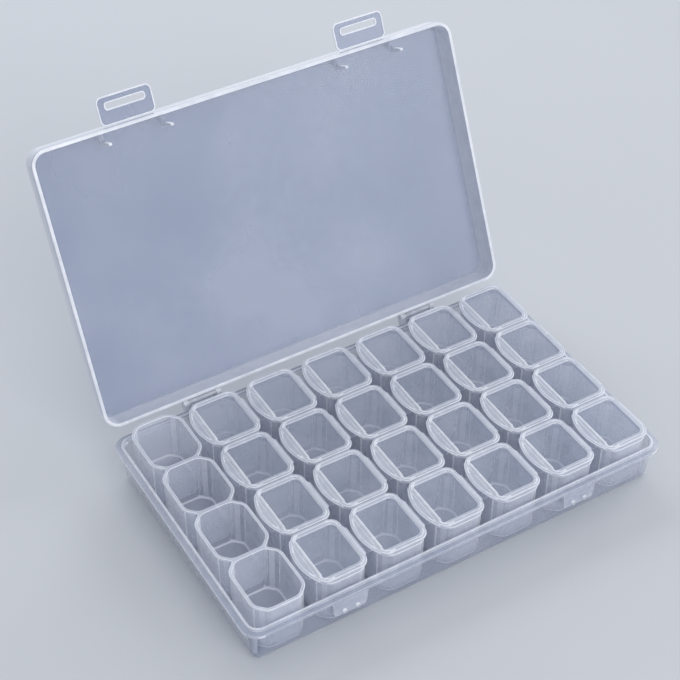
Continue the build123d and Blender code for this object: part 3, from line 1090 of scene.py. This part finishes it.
class BOX_OT_lid(bpy.types.Operator):
    """Makes the big lid with its hooks and fins"""

    bl_idname = "storage_box.lid"
    bl_label = "Big Lid"

    def execute(self, context):
        softened_piece("main_lid", "big_lid", "Lid Plastic", big_lid_glow)
        return {"FINISHED"}


class BOX_OT_latches(bpy.types.Operator):
    """Makes the two latch flaps"""

    bl_idname = "storage_box.latches"
    bl_label = "Latch Flaps"

    def execute(self, context):
        for side in ("left", "right"):
            node, flap = f"latch_{side}", f"latch_flap_{side}"
            softened_piece(node, flap, "Lid Plastic", latch_glow, FLAP_BORDER)
        return {"FINISHED"}


# Stage

CAMERA_AZIMUTH = 31.505
CAMERA_ELEVATION = 42.277
CAMERA_ROLL = 0.583
CAMERA_ACROSS = -17.455 * MM
CAMERA_UP = 50.796 * MM
CAMERA_DISTANCE = 627.142 * MM
CAMERA_FOCAL = 1667.0
PICTURE = 680
TABLE_HALF = 4
TABLE_DROP = 0.05 * MM  # keeps the table's face clear of the tray's underside
TRANSPARENT_LAYERS = 40  # walls of plastic that a ray may cross
SKY_COLOUR, SKY_STRENGTH = (0.80, 0.84, 0.92, 1), 0.56
# Each light's name, size, watts, place, aim, colour and turn about its own axis
LIGHTS = (
    ("Key", (0.7, 0.7), 5.4, (-0.12, -0.85, 0.72), (0, 0, 0.02), (1.0, 0.99, 0.97), 0),
    ("Back", (0.9, 0.4), 4.0, (0.1, 0.8, 0.65), (0, 0.02, 0.03), (0.95, 0.97, 1.0), 0),
    ("Side", (0.5, 0.5), 2.0, (0.85, 0.15, 0.6), (0, 0, 0.03), (1.0, 0.99, 0.98), 0),
    ("Card", (0.75, 0.3), 2.0, (0.5, -1.05, 0.28), (0, 0.09, 0.08), (0.97, 0.98, 1.0), radians(50)),
)


def camera_axes():
    """The camera's right, up and forward directions."""
    az, el, roll = radians(CAMERA_AZIMUTH), radians(CAMERA_ELEVATION), radians(CAMERA_ROLL)
    forward = Vector((sin(az) * cos(el), cos(az) * cos(el), -sin(el)))
    right = Vector((cos(az), -sin(az), 0))
    up = right.cross(forward)
    turned = right * cos(roll) + up * sin(roll)
    return turned, turned.cross(forward), forward


def add_light(name, size, energy, place, aim, colour, roll):
    """A rectangular soft light of so many watts, aimed at a point and turned about its own axis."""
    data = bpy.data.lights.new(name, "AREA")
    data.shape = "RECTANGLE"
    data.size, data.size_y = size
    data.energy = energy
    data.color = colour
    lamp = bpy.data.objects.new(name, data)
    bpy.context.scene.collection.objects.link(lamp)
    lamp.location = place
    turn = (Vector(aim) - Vector(place)).to_track_quat("-Z", "Y")
    lamp.rotation_euler = (turn @ Matrix.Rotation(roll, 3, "Z").to_quaternion()).to_euler()


def table_material(colour):
    """A matt surface with a faint cloudiness."""
    material = bpy.data.materials.new("Table")
    material.use_nodes = True
    tree = material.node_tree
    nodes, links = tree.nodes, tree.links
    shader = nodes["Principled BSDF"]
    shader.inputs["Roughness"].default_value = 0.6
    coords = nodes.new("ShaderNodeTexCoord")
    noise = nodes.new("ShaderNodeTexNoise")
    noise.inputs["Scale"].default_value = 9.0
    links.new(coords.outputs["Object"], noise.inputs["Vector"])
    darker = (*(c * 0.98 for c in colour), 1)
    lighter = (*(c * 1.02 for c in colour), 1)
    links.new(mixed(tree, noise.outputs["Fac"], darker, lighter), shader.inputs["Base Color"])
    return material


class BOX_OT_stage(bpy.types.Operator):
    """Sets the table, the soft lights and the camera"""

    bl_idname = "storage_box.stage"
    bl_label = "Stage"

    def execute(self, context):
        scene = context.scene
        look = scene.box_look
        mesh = bpy.data.meshes.new("table")
        signs = ((-1, -1), (1, -1), (1, 1), (-1, 1))
        corners = [(x * TABLE_HALF, y * TABLE_HALF, -TABLE_DROP) for x, y in signs]
        mesh.from_pydata(corners, [], [(0, 1, 2, 3)])
        table = link("table", mesh)
        mesh.materials.append(table_material(look.floor))

        world = bpy.data.worlds.new("Studio")
        world.use_nodes = True
        background = world.node_tree.nodes["Background"]
        background.inputs["Color"].default_value = SKY_COLOUR
        background.inputs["Strength"].default_value = SKY_STRENGTH
        scene.world = world
        for light in LIGHTS:
            add_light(*light)

        right, up, forward = camera_axes()
        data = bpy.data.cameras.new("Camera")
        data.sensor_width = 36.0
        data.lens = CAMERA_FOCAL / PICTURE * data.sensor_width
        data.clip_start = 0.01
        camera = bpy.data.objects.new("Camera", data)
        scene.collection.objects.link(camera)
        turn = Matrix((right, up, -forward)).transposed().to_4x4()
        place = -CAMERA_DISTANCE * forward + CAMERA_ACROSS * right + CAMERA_UP * up
        camera.matrix_world = Matrix.Translation(place) @ turn
        scene.camera = camera
        scene.view_settings.view_transform = "Standard"
        scene.cycles.transparent_max_bounces = TRANSPARENT_LAYERS
        return {"FINISHED"}


class BOX_PT_panel(bpy.types.Panel):
    """Lists the box's pieces and sizes"""

    bl_label = "Storage Box"
    bl_idname = "BOX_PT_panel"
    bl_space_type = "VIEW_3D"
    bl_region_type = "UI"
    bl_category = "Storage Box"

    def draw(self, context):
        layout = self.layout
        for group in (context.scene.cup_sizes, context.scene.cup_lid_sizes, context.scene.box_look):
            box = layout.box()
            for prop in group.bl_rna.properties:
                if prop.identifier not in ("rna_type", "name"):
                    box.prop(group, prop.identifier)
        for operator in OPERATORS:
            layout.operator(operator.bl_idname)


OPERATORS = (
    BOX_OT_stage,
    BOX_OT_tray,
    BOX_OT_lid,
    BOX_OT_latches,
    BOX_OT_cup_strips,
    BOX_OT_cup_lids,
)
CLASSES = (CupSizes, CupLidSizes, PlasticLook, *OPERATORS, BOX_PT_panel)


def register():
    for item in CLASSES:
        bpy.utils.register_class(item)
    bpy.types.Scene.cup_sizes = PointerProperty(type=CupSizes)
    bpy.types.Scene.cup_lid_sizes = PointerProperty(type=CupLidSizes)
    bpy.types.Scene.box_look = PointerProperty(type=PlasticLook)


def unregister():
    del bpy.types.Scene.box_look
    del bpy.types.Scene.cup_lid_sizes
    del bpy.types.Scene.cup_sizes
    for item in reversed(CLASSES):
        bpy.utils.unregister_class(item)


def main():
    register()
    bpy.ops.storage_box.stage()
    bpy.ops.storage_box.tray()
    bpy.ops.storage_box.lid()
    bpy.ops.storage_box.latches()
    bpy.ops.storage_box.cup_strips()
    bpy.ops.storage_box.cup_lids()


if __name__ == "__main__":
    main()
